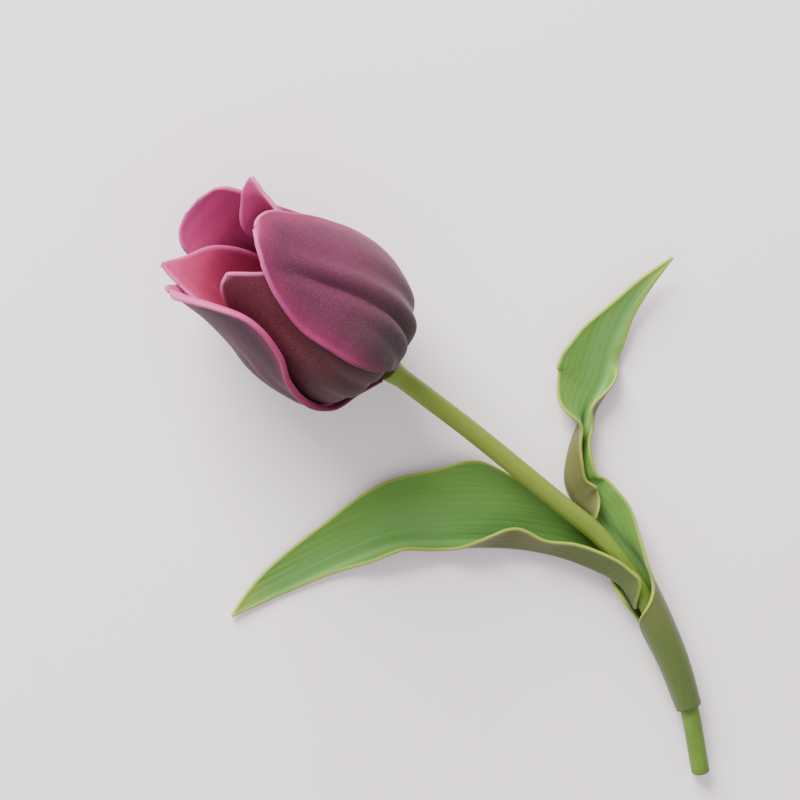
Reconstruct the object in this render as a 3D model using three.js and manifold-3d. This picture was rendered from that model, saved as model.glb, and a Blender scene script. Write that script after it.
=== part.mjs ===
// A cut tulip lying on a table: stem, two clasping leaves, six petals in two whorls of three,
// and inside the cup the pistil with six stamens round it. Millimetres, +Z up, table at z = 0.
import * as THREE from "three";
import { mergeVertices } from "three/addons/utils/BufferGeometryUtils.js";
import Module from "manifold-3d";

const wasm = await Module();
wasm.setup();

// ---- driving dimensions ----
const HEAD_BASE = new THREE.Vector3(0, 0, 16.4); // where the stem meets the petals
const HEAD_PITCH = 14; // degrees that the cup's axis rises from the table
const PETAL_THICKNESS = 1.0;
const LEAF_THICKNESS = 0.8;
const STEM_RADIUS = 2.5;
const STEM_SIDES = 12;
const STEM_STEPS = 44;
const RECEPTACLE_RADIUS = 3.1; // the stem's swollen top, which carries the petals
const RECEPTACLE_LENGTH = 5;
const JOINT_GAP = 0.35; // left between pieces that touch
const OVARY_RADIUS = 2.7;
const OVARY_HEIGHT = 17;
const STIGMA_LOBES = 3;
const STIGMA_LOBE = new THREE.Vector3(2.3, 1.1, 1.3); // half-lengths of one lobe
const STIGMA_REACH = 1.9; // from the axis to a lobe's middle
const STAMENS = 6;
const STAMEN_FOOT = new THREE.Vector2(3.4, 4.6); // radius and height of a filament's foot
const STAMEN_TOP = new THREE.Vector2(6.2, 15.5); // radius and height of its top
const FILAMENT_RADIUS = 0.55;
const ANTHER_RADIUS = 1.1;
const ANTHER_LENGTH = 8;

const PETAL_STEPS = 18; // mesh steps along a petal
const PETAL_SIDE_STEPS = 6; // and from its midrib to either margin
const LEAF_STEPS = 34;
const LEAF_SIDE_STEPS = 6;

const COLOURS = {
  petalOuter: 0x6e3f66,
  petalInner: 0xb04f7c,
  stem: 0x93a24c,
  leaf: 0x6f9a4a,
  pistil: 0x9aa85c,
  filament: 0x6a4a5e,
  anther: 0x2f2230,
};

// ---- curves and sheets ----

// A smooth curve through rows of numbers, spaced along 0..1 by the distance between their points.
// The first `dims` numbers of each row are the point.
function track(rows, dims) {
  const at = [0];
  for (let i = 1; i < rows.length; i++) {
    const step = rows[i].slice(0, dims).map((v, k) => v - rows[i - 1][k]);
    at.push(at[i - 1] + Math.hypot(...step));
  }
  const t = at.map((d) => d / at.at(-1));
  const last = rows.length - 1;
  const slope = rows.map((row, i) => {
    const [a, b] = [Math.max(i - 1, 0), Math.min(i + 1, last)];
    return row.map((_, k) => (rows[b][k] - rows[a][k]) / (t[b] - t[a]));
  });
  return (s) => {
    let i = 0;
    while (i < last - 1 && s > t[i + 1]) i++;
    const h = t[i + 1] - t[i];
    const u = Math.min(Math.max((s - t[i]) / h, 0), 1);
    const [u2, u3] = [u * u, u * u * u];
    return rows[i].map(
      (v, k) =>
        (2 * u3 - 3 * u2 + 1) * v +
        (u3 - 2 * u2 + u) * h * slope[i][k] +
        (3 * u2 - 2 * u3) * rows[i + 1][k] +
        (u3 - u2) * h * slope[i + 1][k],
    );
  };
}

// Steps along 0..1, closer together towards the tip.
function stepsAlong(count) {
  const crowding = 0.8;
  return Array.from({ length: count + 1 }, (_, i) => {
    const s = i / count;
    return s + crowding * (Math.sin((s * Math.PI) / 2) - s);
  });
}

// Unit tangents of a row of points, from their neighbours.
function tangents(points) {
  const last = points.length - 1;
  return points.map((_, i) =>
    points[Math.min(i + 1, last)].clone().sub(points[Math.max(i - 1, 0)]).normalize(),
  );
}

// One cross-section: marches from the midrib to both margins. `lean(x)` is the angle of the
// sheet at arc length x from the midrib, measured from `side` towards `up`.
function section(mid, side, up, lowWidth, highWidth, lean, sideSteps) {
  const finer = 6;
  const march = (width, sign) => {
    const points = [];
    const here = mid.clone();
    const step = (sign * width) / (sideSteps * finer);
    for (let i = 1; i <= sideSteps * finer; i++) {
      const angle = lean(step * (i - 0.5));
      here.addScaledVector(side, step * Math.cos(angle));
      here.addScaledVector(up, step * Math.sin(angle));
      if (i % finer === 0) points.push(here.clone());
    }
    return points;
  };
  return [...march(lowWidth, -1).reverse(), mid.clone(), ...march(highWidth, 1)];
}

// A closed solid of even thickness round a grid of points.
function sheetSolid(rows, thickness) {
  const [nu, nv] = [rows.length, rows[0].length];
  const normal = (i, j) => {
    const along = rows[Math.min(i + 1, nu - 1)][j].clone().sub(rows[Math.max(i - 1, 0)][j]);
    const across = rows[i][Math.min(j + 1, nv - 1)].clone().sub(rows[i][Math.max(j - 1, 0)]);
    return across.cross(along).normalize();
  };
  const positions = [];
  for (const face of [1, -1])
    for (let i = 0; i < nu; i++)
      for (let j = 0; j < nv; j++) {
        const p = rows[i][j].clone().addScaledVector(normal(i, j), (face * thickness) / 2);
        positions.push(p.x, p.y, p.z);
      }
  const top = (i, j) => i * nv + j;
  const bottom = (i, j) => nu * nv + i * nv + j;
  const index = [];
  const quad = (a, b, c, d) => index.push(a, b, c, a, c, d);
  for (let i = 0; i < nu - 1; i++)
    for (let j = 0; j < nv - 1; j++) {
      quad(top(i, j), top(i, j + 1), top(i + 1, j + 1), top(i + 1, j));
      quad(bottom(i, j), bottom(i + 1, j), bottom(i + 1, j + 1), bottom(i, j + 1));
    }
  for (let i = 0; i < nu - 1; i++) {
    quad(top(i, 0), top(i + 1, 0), bottom(i + 1, 0), bottom(i, 0));
    quad(top(i + 1, nv - 1), top(i, nv - 1), bottom(i, nv - 1), bottom(i + 1, nv - 1));
  }
  for (let j = 0; j < nv - 1; j++) {
    quad(top(0, j + 1), top(0, j), bottom(0, j), bottom(0, j + 1));
    quad(top(nu - 1, j), top(nu - 1, j + 1), bottom(nu - 1, j + 1), bottom(nu - 1, j));
  }
  const geometry = new THREE.BufferGeometry();
  geometry.setAttribute("position", new THREE.Float32BufferAttribute(positions, 3));
  geometry.setIndex(index);
  return geometry;
}

// ---- joining with manifold-3d ----

function toManifold(geometry) {
  const bare = geometry.clone();
  for (const name of ["normal", "uv"]) bare.deleteAttribute(name);
  const merged = mergeVertices(bare, 1e-3);
  return new wasm.Manifold(
    new wasm.Mesh({
      numProp: 3,
      vertProperties: merged.attributes.position.array,
      triVerts: new Uint32Array(merged.index.array),
    }),
  );
}

function join(...geometries) {
  const whole = geometries.map(toManifold).reduce((a, b) => a.add(b));
  const { vertProperties, triVerts } = whole.getMesh();
  const geometry = new THREE.BufferGeometry();
  geometry.setAttribute("position", new THREE.Float32BufferAttribute(vertProperties, 3));
  geometry.setIndex(new THREE.Uint32BufferAttribute(triVerts, 1));
  return geometry;
}

function mesh(name, geometry, colour, roughness = 0.7) {
  geometry.computeVertexNormals();
  const material = new THREE.MeshStandardMaterial({ color: colour, roughness, metalness: 0 });
  const made = new THREE.Mesh(geometry, material);
  made.name = name;
  return made;
}

// ---- petals ----
// In the head's own frame +Z runs along the cup's axis. An azimuth of 0 is the side of the
// cup that faces up from the table, and 90 is the side that faces -Y.
//
// A petal's stations run from its foot to its tip. Each row holds the midrib's radius and
// height, the widths to the margin of lower and of higher azimuth, how much flatter than round
// the petal is, how far the midrib strays sideways, and how far the high margin rolls outward.
const PETALS = {
  petal_outer_front: {
    azimuth: 42,
    stations: [
      [3.6, 0.3, 2.6, 2.6, 1, 0, 0],
      [11, 5.4, 9, 9, 1.02, 0, 0],
      [17, 9.6, 15.5, 15.5, 1.04, 0, 0],
      [19.7, 14.2, 18.5, 18.5, 1.06, 0, 0],
      [21.3, 21, 20.5, 21, 1.08, 0, 0],
      [20.6, 30, 20.8, 20, 1.08, 0, 0],
      [18.2, 40, 19.5, 15.5, 1.12, -0.4, 0],
      [16, 50, 14.5, 9.5, 1.15, -1.4, 0],
      [14.7, 56, 9.5, 6.5, 1.2, -2.3, 0],
      [13.7, 58.6, 5, 3.5, 1.2, -2.8, 0],
      [13.2, 59.4, 0.5, 0.5, 1.2, -3, 0],
    ],
  },
  petal_outer_low: {
    azimuth: -82,
    stations: [
      [3.6, 0.3, 2.4, 2, 1, 0, 0],
      [11, 5.4, 5, 3.5, 1.1, 0, 5],
      [16.6, 9.4, 6.5, 5, 1.2, 0, 12],
      [19.1, 13.6, 8, 7, 1.3, 0, 18],
      [20.6, 20, 10.5, 10.5, 1.5, 0, 28],
      [20.6, 29, 14, 14.5, 1.6, 0, 35],
      [18.7, 37, 17, 17.5, 1.6, 0, 30],
      [17.2, 48, 17.5, 17.5, 1.5, 0, 26],
      [17.1, 56, 12.5, 12.5, 1.35, 0, 22],
      [17.1, 60.7, 6, 6, 1.25, 0, 20],
      [17.2, 62, 0.5, 0.5, 1.2, 0, 20],
    ],
  },
  petal_outer_back: {
    azimuth: 165,
    stations: [
      [3.6, 0.3, 2.6, 2.6, 1, 0, 0],
      [11, 5.4, 9, 9, 1.02, 0, 0],
      [17, 9.6, 15.5, 15, 1.04, 0, 0],
      [19.7, 14.2, 17, 16.5, 1.06, 0, 0],
      [21.3, 21, 18.5, 18.5, 1.08, 0, 0],
      [20.6, 30, 17.5, 17, 1.08, 0, 0],
      [18.8, 40, 16, 14.5, 1.1, 0.4, 0],
      [17, 50, 12.5, 11, 1.15, 1.2, 0],
      [17, 56.5, 11, 10.5, 1.2, 2, 0],
      [17.2, 60.2, 8, 7.5, 1.2, 2.4, 0],
      [17.3, 61.6, 2.5, 2.5, 1.2, 2.5, 0],
    ],
  },
  petal_inner_front: {
    azimuth: -25,
    stations: [
      [2.2, 1.9, 2, 2, 1, 0, 0],
      [9.8, 6.6, 10, 7, 0.97, 0, 0],
      [15.6, 10.4, 14.5, 12, 0.93, 0, 0],
      [18.4, 14.6, 16, 14, 0.9, 0, 0],
      [20.1, 21.2, 17, 15.5, 0.87, 0, 0],
      [19.6, 30, 16, 15, 0.86, 0, 0],
      [17.4, 40, 12, 12, 0.9, 0, 0],
      [15.2, 49, 8.5, 8.6, 0.95, 0, 0],
      [14.2, 54.5, 5.5, 4, 1, 0, 0],
      [13.8, 57, 3, 1.7, 1, 0, 0],
      [13.6, 58, 0.5, 0.5, 1, 0, 0],
    ],
  },
  petal_inner_top: {
    azimuth: 105,
    stations: [
      [2.2, 1.9, 2, 2, 1, 0, 0],
      [9.6, 6.8, 8, 8, 0.97, 0, 0],
      [15.2, 10.8, 13, 13, 0.93, 0, 0],
      [18, 15, 15, 15, 0.9, 0, 0],
      [19.5, 21.5, 16, 16, 0.87, 0, 0],
      [18.6, 30, 15, 15, 0.86, 0, 0],
      [15.8, 40, 12.5, 14, 0.82, 0, 0],
      [14.2, 50, 8.5, 12.5, 0.76, 0.4, 0],
      [14.9, 55.5, 3.6, 7, 0.72, 0.9, 0],
      [16.2, 58.3, 1.8, 3.2, 0.7, 1.1, 0],
      [17.1, 59.4, 0.4, 0.4, 0.7, 1.2, 0],
    ],
  },
  petal_inner_low: {
    azimuth: -138,
    stations: [
      [2.2, 1.9, 2, 2, 1, 0, 0],
      [9.6, 6.8, 8, 8, 0.97, 0, 0],
      [15.2, 10.8, 13, 13, 0.93, 0, 0],
      [18, 15, 15, 15, 0.9, 0, 0],
      [19.5, 21.5, 16, 15.5, 0.87, 0, 0],
      [18.6, 30, 16, 15, 0.86, 0, 0],
      [16.3, 40, 15, 13, 0.87, 0.4, 0],
      [15, 50, 10.6, 10, 0.88, 1.2, 0],
      [15.8, 56.5, 4.4, 5, 0.9, 1.9, 0],
      [16.9, 60, 1.8, 2, 0.9, 2.3, 0],
      [17.5, 61.5, 0.4, 0.4, 0.9, 2.5, 0],
    ],
  },
};
const ROLL_FROM = 0.6; // a margin rolls beyond this share of the petal's width
const LEAST_BOWL = 0.25; // how much of its bowl a petal keeps where it runs almost level

function petalGeometry({ azimuth, stations }) {
  const turn = THREE.MathUtils.degToRad(azimuth);
  const outward = new THREE.Vector3(-Math.cos(turn), -Math.sin(turn), 0);
  const around = new THREE.Vector3(Math.sin(turn), -Math.cos(turn), 0);
  const shape = track(stations, 2);
  const values = stepsAlong(PETAL_STEPS).map(shape);
  const midrib = values.map(([radius, height, , , , stray]) =>
    new THREE.Vector3(0, 0, height).addScaledVector(outward, radius).addScaledVector(around, stray),
  );
  const along = tangents(midrib);
  const rows = values.map(([radius, , low, high, flatness, , roll], i) => {
    const side = around.clone().addScaledVector(along[i], -around.dot(along[i])).normalize();
    const up = along[i].clone().cross(side).normalize();
    const bowl = Math.max(along[i].z, LEAST_BOWL) / radius / flatness;
    const lean = (x) => {
      const edge = Math.max((x / high - ROLL_FROM) / (1 - ROLL_FROM), 0);
      return bowl * x - THREE.MathUtils.degToRad(roll) * edge * edge;
    };
    return section(midrib[i], side, up, low, high, lean, PETAL_SIDE_STEPS);
  });
  return sheetSolid(rows, PETAL_THICKNESS);
}

// ---- leaves ----
// A leaf is a sheet folded along its lowest line. Each row holds a point of that line, the
// width and heading of the wall on its left and on its right, and the fold's radius. Headings
// are seen from the leaf's foot: 0 is flat to the right, 90 straight up, 180 flat to the left.
const LEAVES = {
  leaf_left: [
    [-100, 7.3, 2.5, 6, 70, 3.5, 110, 3.2],
    [-93, 4.9, 2.5, 12, 45, 3.5, 60, 3.1],
    [-89, 5, 2.45, 12, 42, 4, 16, 2.8],
    [-85, 5.9, 2.3, 12, 42, 5, 10, 2.4],
    [-75, 8.7, 1.6, 11.3, 40, 7.5, 12, 2.2],
    [-67, 12.2, 0.9, 10.5, 50, 12.8, 12, 2],
    [-59, 16.5, 0.7, 12, 35, 17.2, 12, 2],
    [-51.5, 21.6, 0.6, 9, 60, 21.5, 9, 2],
    [-44.5, 27, 0.6, 5, 95, 20, 8, 2],
    [-35, 34.5, 0.6, 7, 75, 17, 8, 2],
    [-26.5, 47, 0.6, 3, 130, 12, 8, 2],
    [-19, 61, 0.7, 1.5, 165, 8, 8, 2],
    [-15, 69, 0.9, 0.9, 170, 4.5, 8, 2],
    [-12, 75, 1.2, 0.4, 170, 0.4, 8, 2],
  ],
  leaf_right: [
    [-130, 22.5, 0.75, 3.3, 120, 15.8, 285, 3.2],
    [-118, 15.5, 1.2, 3.7, 125, 18.9, 285, 3.8],
    [-108.5, 10.9, 1.15, 4.1, 125, 20.8, 280, 4.25],
    [-103, 8.4, 1.1, 5, 118, 19, 245, 4.4],
    [-97, 5.8, 1.1, 8, 120, 12, 125, 4.5],
    [-91, 3, 0.8, 5, 168, 11.5, 95, 4.4],
    [-83, -0.5, 0.5, 3.8, 174, 10, 55, 3],
    [-77, -2.7, 0.5, 3.4, 130, 9.8, 35, 1.8],
    [-72, -3.2, 0.5, 8.5, 18, 9.8, 25, 1.5],
    [-67.5, -3.9, 0.5, 10.2, 12, 9.5, 22, 1.5],
    [-63.5, -6.2, 0.6, 8.8, 15, 8.5, 30, 1.6],
    [-60.5, -10.5, 0.6, 7.5, 35, 7, 48, 1.6],
    [-58.2, -15.5, 0.6, 6.5, 70, 5.5, 72, 1.6],
    [-57, -20, 0.6, 7, 105, 5, 98, 1.6],
    [-55, -24.5, 0.6, 10.5, 165, 6.5, 135, 1.6],
    [-53.5, -31.5, 0.8, 13.5, 172, 5.5, 100, 2],
    [-51, -36.5, 1.3, 13.2, 172, 3.5, 15, 2.6],
    [-48.5, -42, 2, 10, 172, 3.5, 12, 3],
    [-46.5, -49.5, 3, 5.5, 172, 2.6, 10, 3.4],
    [-45.5, -58.5, 4.5, 2.5, 172, 2, 10, 3.8],
    [-46, -68, 7, 0.4, 172, 0.4, 10, 4],
  ],
};

function leafGeometry(stations) {
  const shape = track(stations, 3);
  const values = stepsAlong(LEAF_STEPS).map(shape);
  const fold = values.map(([x, y, z]) => new THREE.Vector3(x, y, z));
  const along = tangents(fold);
  const rows = values.map(([, , , left, leftHeading, right, rightHeading, radius], i) => {
    const side = along[i].clone().cross(new THREE.Vector3(0, 0, 1)).normalize();
    const up = side.clone().cross(along[i]);
    const [low, high] = [leftHeading - 180, rightHeading].map(THREE.MathUtils.degToRad);
    const lean = (x) => Math.min(Math.max(x / radius, low), high);
    return section(fold[i], side, up, left, right, lean, LEAF_SIDE_STEPS);
  });
  return sheetSolid(rows, LEAF_THICKNESS);
}

// ---- stem ----
const STEM_PATH = [
  [-146, 35, 2.5],
  [-130, 22.5, 4],
  [-118, 15.5, 5],
  [-105.5, 9.5, 5.7],
  [-93, 4.5, 6],
  [-77.5, 1, 6.8],
  [-63, 0.5, 7.8],
  [-45, 0, 9.3],
  [-29.5, -0.3, 11.1],
  [-13, -0.2, 13.7],
].map((p) => new THREE.Vector3(...p));

const axis = new THREE.Vector3(0, 0, 1).applyEuler(
  new THREE.Euler(0, THREE.MathUtils.degToRad(90 - HEAD_PITCH), 0),
);

function stemGeometry() {
  const top = HEAD_BASE.clone().addScaledVector(axis, -JOINT_GAP);
  const route = new THREE.CatmullRomCurve3([...STEM_PATH, top]);
  const round = new THREE.Shape();
  round.absarc(0, 0, STEM_RADIUS, 0, 2 * Math.PI);
  const stalk = new THREE.ExtrudeGeometry(round, {
    steps: STEM_STEPS,
    curveSegments: STEM_SIDES / 2, // a full circle gets twice as many sides as this
    extrudePath: route,
  });
  const profile = [
    [0, -RECEPTACLE_LENGTH],
    [STEM_RADIUS - 0.3, -RECEPTACLE_LENGTH],
    [RECEPTACLE_RADIUS, -1.2],
    [RECEPTACLE_RADIUS - 0.2, -JOINT_GAP],
    [0, -JOINT_GAP],
  ].map((p) => new THREE.Vector2(...p));
  const swelling = new THREE.LatheGeometry(profile, 2 * STEM_SIDES);
  swelling.rotateX(Math.PI / 2); // the lathe's axis becomes +Z
  swelling.rotateY(THREE.MathUtils.degToRad(90 - HEAD_PITCH));
  swelling.translate(...HEAD_BASE);
  return join(stalk, swelling);
}

// ---- pistil and stamens, in the head's own frame ----
function pistilGeometry() {
  const foot = 0.4;
  const profile = [
    [0, foot],
    [1.1, foot],
    [1.2, 3.2],
    [OVARY_RADIUS, 6.5],
    [OVARY_RADIUS, OVARY_HEIGHT - 5],
    [OVARY_RADIUS * 0.75, OVARY_HEIGHT],
    [0, OVARY_HEIGHT],
  ].map((p) => new THREE.Vector2(...p));
  const ovary = new THREE.LatheGeometry(profile, 18);
  ovary.rotateX(Math.PI / 2);
  const lobes = Array.from({ length: STIGMA_LOBES }, (_, i) => {
    const turn = (2 * Math.PI * i) / STIGMA_LOBES;
    const lobe = new THREE.SphereGeometry(1, 12, 8);
    lobe.scale(...STIGMA_LOBE);
    lobe.translate(STIGMA_REACH, 0, OVARY_HEIGHT);
    lobe.rotateZ(turn);
    return lobe;
  });
  return join(ovary, ...lobes);
}

function stamen(index) {
  const turn = (2 * Math.PI * (index + 0.5)) / STAMENS;
  const lean = Math.atan2(STAMEN_TOP.x - STAMEN_FOOT.x, STAMEN_TOP.y - STAMEN_FOOT.y);
  const length = STAMEN_FOOT.distanceTo(STAMEN_TOP);
  const filament = new THREE.CylinderGeometry(FILAMENT_RADIUS * 0.8, FILAMENT_RADIUS, length, 8);
  filament.rotateX(Math.PI / 2);
  filament.translate(0, 0, length / 2);
  const anther = new THREE.SphereGeometry(1, 10, 8);
  anther.scale(ANTHER_LENGTH / 2, ANTHER_RADIUS, ANTHER_RADIUS);
  anther.rotateY(Math.PI / 2);
  anther.translate(0, 0, length + JOINT_GAP + ANTHER_LENGTH / 2);
  for (const piece of [filament, anther]) {
    piece.rotateY(lean);
    piece.translate(STAMEN_FOOT.x, 0, STAMEN_FOOT.y);
    piece.rotateZ(turn);
  }
  return [
    mesh(`filament_${index + 1}`, filament, COLOURS.filament),
    mesh(`anther_${index + 1}`, anther, COLOURS.anther, 0.9),
  ];
}

// ---- the whole flower ----
const head = new THREE.Group();
head.position.copy(HEAD_BASE);
head.rotation.y = THREE.MathUtils.degToRad(90 - HEAD_PITCH);
for (const [name, petal] of Object.entries(PETALS)) {
  const colour = name.startsWith("petal_outer") ? COLOURS.petalOuter : COLOURS.petalInner;
  head.add(mesh(name, petalGeometry(petal), colour));
}
head.add(mesh("pistil", pistilGeometry(), COLOURS.pistil));
for (let i = 0; i < STAMENS; i++) head.add(...stamen(i));

const flower = new THREE.Group();
flower.add(head, mesh("stem", stemGeometry(), COLOURS.stem));
for (const [name, stations] of Object.entries(LEAVES))
  flower.add(mesh(name, leafGeometry(stations), COLOURS.leaf));

// The origin is the middle of the underside of the flower's box.
const box = new THREE.Box3().setFromObject(flower, true);
const middle = box.getCenter(new THREE.Vector3());
flower.position.set(-middle.x, -middle.y, -box.min.z);

const root = new THREE.Group();
root.add(flower);
export default root;
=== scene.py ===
# %% [markdown]
# # A cut tulip, lying down
#
# A tulip is made of thin curved sheets: six petals round a cup and two leaves that clasp the
# stem. Their shapes were settled in CAD, so this lesson starts from that frame. It makes each
# piece again at a finer grain, with round margins, pleats and veins, and gives it its finish.
# Sizes are written in millimetres and turned into metres when a mesh is made.

import math

import bpy
import numpy as np
from mathutils import Matrix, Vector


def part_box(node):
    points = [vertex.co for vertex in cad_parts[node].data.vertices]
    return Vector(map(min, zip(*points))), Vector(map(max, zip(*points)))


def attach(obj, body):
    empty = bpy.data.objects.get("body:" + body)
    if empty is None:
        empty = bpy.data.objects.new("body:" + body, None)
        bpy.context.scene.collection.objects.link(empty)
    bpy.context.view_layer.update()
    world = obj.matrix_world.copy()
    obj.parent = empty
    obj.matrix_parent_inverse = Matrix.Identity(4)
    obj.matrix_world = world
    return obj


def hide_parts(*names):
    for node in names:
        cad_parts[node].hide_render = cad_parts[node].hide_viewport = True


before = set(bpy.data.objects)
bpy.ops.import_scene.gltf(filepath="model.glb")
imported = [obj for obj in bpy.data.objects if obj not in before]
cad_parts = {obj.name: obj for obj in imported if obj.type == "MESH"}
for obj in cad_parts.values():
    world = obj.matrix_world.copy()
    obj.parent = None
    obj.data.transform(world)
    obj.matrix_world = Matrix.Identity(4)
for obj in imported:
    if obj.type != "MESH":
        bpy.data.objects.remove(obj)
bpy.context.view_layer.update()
MM = 0.001

# %% [markdown]
# ## The table and the camera
#
# The flower rests on a wide pale floor at height zero. The camera looks down on it, leaning a
# little towards the mouth of the cup, so that the inside of the petals shows. Its direction is
# built from two angles, which is easier to reason about than a rotation typed in by hand: how
# far it tips off the vertical, and how far the stem's own direction is turned in the picture.

# %% Camera
ORIGIN = np.array([41.708, -3.551, -0.007])  # the point on the table under the head's base
AIM = np.array([-6.9, 4.5, 18.6])  # from that point to what the camera looks at
TIP = math.radians(18)
TURN = math.radians(142.5)
DISTANCE = 600
LENS = 108
NEAREST, FARTHEST = 0.01, 20  # metres that the camera can see

towards_mouth = np.array([math.cos(TIP), 0, -math.sin(TIP)])
sideways = np.array([0.0, 1.0, 0.0])
view_back = np.array([math.sin(TIP), 0, math.cos(TIP)])
view_right = math.cos(TURN) * towards_mouth - math.sin(TURN) * sideways
view_up = math.sin(TURN) * towards_mouth + math.cos(TURN) * sideways


def seen_from(obj, right, up, back, point):
    """Sets an object at a point, in millimetres, with its own axes along these directions."""
    matrix = np.eye(4)
    matrix[:3, 0], matrix[:3, 1], matrix[:3, 2] = right, up, back
    matrix[:3, 3] = np.asarray(point) * MM
    obj.matrix_world = Matrix(matrix.tolist())


camera = bpy.data.objects.new("camera", bpy.data.cameras.new("camera"))
camera.data.lens = LENS
camera.data.clip_start, camera.data.clip_end = NEAREST, FARTHEST
bpy.context.collection.objects.link(camera)
seen_from(camera, view_right, view_up, view_back, ORIGIN + AIM + DISTANCE * view_back)
bpy.context.scene.camera = camera
print("camera at", [round(v, 4) for v in camera.matrix_world.translation])

# %% [markdown]
# ## Shader sums that read like sums
#
# A finish is a graph of nodes, and most of its nodes do arithmetic. Wrapping a socket in a small
# class lets that arithmetic be written as an expression, such as `1 - mask * 0.5`. Every other
# kind of node comes from one method that takes its settings and what goes into its sockets.

# %% The expression class and the finish class
def linear(hex_colour):
    """A colour written as 0xRRGGBB, as the four numbers that a shader takes."""
    parts = [((hex_colour >> shift) & 255) / 255 for shift in (16, 8, 0)]
    return [c / 12.92 if c <= 0.04045 else ((c + 0.055) / 1.055) ** 2.4 for c in parts] + [1]


class Value:
    """A number that varies over a surface."""

    def __init__(self, finish, socket):
        self.finish, self.socket = finish, socket

    def sum_with(self, operation, first, second=None):
        made = self.finish.add("Math", {"operation": operation}, {0: first})
        if second is not None:
            self.finish.feed(made.socket.node.inputs[1], second)
        return made

    def __add__(self, other):
        return self.sum_with("ADD", self, other)

    def __sub__(self, other):
        return self.sum_with("SUBTRACT", self, other)

    def __rsub__(self, other):
        return self.sum_with("SUBTRACT", other, self)

    def __mul__(self, other):
        return self.sum_with("MULTIPLY", self, other)

    __radd__ = __add__
    __rmul__ = __mul__

    def abs(self):
        return self.sum_with("ABSOLUTE", self)

    def sin(self):
        return self.sum_with("SINE", self)

    def rise(self, low, high):
        """0 below `low`, 1 above `high`, and a smooth rise between them."""
        span = {"From Min": low, "From Max": high, "Value": self}
        return self.finish.add("MapRange", {"interpolation_type": "SMOOTHSTEP"}, span)


class Finish:
    """A material in the making."""

    def __init__(self, name):
        self.material = bpy.data.materials.new(name)
        self.material.use_nodes = True
        self.tree = self.material.node_tree
        self.tree.nodes.clear()

    def feed(self, socket, value):
        if isinstance(value, Value):
            self.tree.links.new(value.socket, socket)
        else:
            socket.default_value = value

    def add(self, kind, settings=None, sockets=None, out=0):
        node = self.tree.nodes.new("ShaderNode" + kind)
        for name, value in (settings or {}).items():
            setattr(node, name, value)
        for name, value in (sockets or {}).items():
            self.feed(node.inputs[name], value)
        return Value(self, node.outputs[out])

    def painted(self, name):
        """A number stored on the mesh, such as how far along the petal a point is."""
        return self.add("Attribute", {"attribute_name": name}, out=2)

    def blend(self, factor, first, second):
        """Two colours mixed by a number from 0 to 1. A colour may be written as 0xRRGGBB."""
        first, second = (linear(c) if isinstance(c, int) else c for c in (first, second))
        settings = {"data_type": "RGBA", "clamp_factor": True}
        return self.add("Mix", settings, {0: factor, 6: first, 7: second}, out=2)

    def streaks(self, across, along, fineness, stretch, detail=3, seed=0.0):
        """Noise drawn out along a sheet, from 0 to 1. `across` and `along` are in millimetres."""
        where = self.add("CombineXYZ", None, {0: across * fineness, 1: along * stretch, 2: seed})
        sockets = {"Vector": where, "Scale": 1.0, "Detail": detail, "Roughness": 0.55}
        return self.add("TexNoise", {"noise_dimensions": "3D"}, sockets)

    def grain(self, size_mm, detail=4):
        """Even noise from 0 to 1, whose lumps are about this size."""
        where = self.add("TexCoord", out=3)
        sockets = {"Vector": where, "Scale": 1 / (size_mm * MM), "Detail": detail}
        return self.add("TexNoise", {"noise_dimensions": "3D"}, sockets)

    def bump(self, height, depth_mm):
        """A normal tilted by a height from 0 to 1, which stands for this depth."""
        sockets = {"Height": height, "Distance": depth_mm * MM, "Strength": 1.0}
        return self.add("Bump", None, sockets)

    def surface(self, **sockets):
        """The last node. Names in Python have _ where the socket's name has a space."""
        named = {name.replace("_", " "): value for name, value in sockets.items()}
        shader = self.add("BsdfPrincipled", None, named)
        output = self.tree.nodes.new("ShaderNodeOutputMaterial")
        self.tree.links.new(shader.socket, output.inputs["Surface"])
        return self.material


# %% [markdown]
# ## Floor and light
#
# The flower lies in a bright, even room. A pale floor, a soft sky of one colour and two large
# area lights give shadows without hard edges. The main light, the window, stands beyond the
# head, so that the near underside of the cup stays darker. The weak one fills in from the
# lower left of the view.

# %% Floor, sky and lights
FLOOR_SIZE = 6000


def make_floor():
    finish = Finish("pale_floor")
    cloud = finish.grain(900, detail=2)
    colour = finish.blend(cloud, 0xEFE7EB, 0xF3ECEF)
    material = finish.surface(Base_Color=colour, Roughness=0.9)
    half = FLOOR_SIZE / 2 * MM
    corners = [(-half, -half, 0), (half, -half, 0), (half, half, 0), (-half, half, 0)]
    data = bpy.data.meshes.new("floor")
    data.from_pydata(corners, [], [(0, 1, 2, 3)])
    data.materials.append(material)
    floor = bpy.data.objects.new("floor", data)
    bpy.context.collection.objects.link(floor)


def make_light(name, direction, distance, size, power, colour):
    """A square area light that faces the flower from this direction. Power is in watts."""
    light = bpy.data.objects.new(name, bpy.data.lights.new(name, "AREA"))
    light.data.size = size * MM
    light.data.energy = power
    light.data.color = linear(colour)[:3]
    bpy.context.collection.objects.link(light)
    back = np.array(direction, float) / np.linalg.norm(direction)
    right = np.cross([0.0, 0.0, 1.0], back)
    right /= np.linalg.norm(right)
    seen_from(light, right, np.cross(back, right), back, ORIGIN + AIM + distance * back)


make_floor()
world = bpy.data.worlds.new("room")
world.use_nodes = True
world.node_tree.nodes["Background"].inputs["Color"].default_value = linear(0xF2EDF2)
world.node_tree.nodes["Background"].inputs["Strength"].default_value = 1.0
bpy.context.scene.world = world

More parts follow.
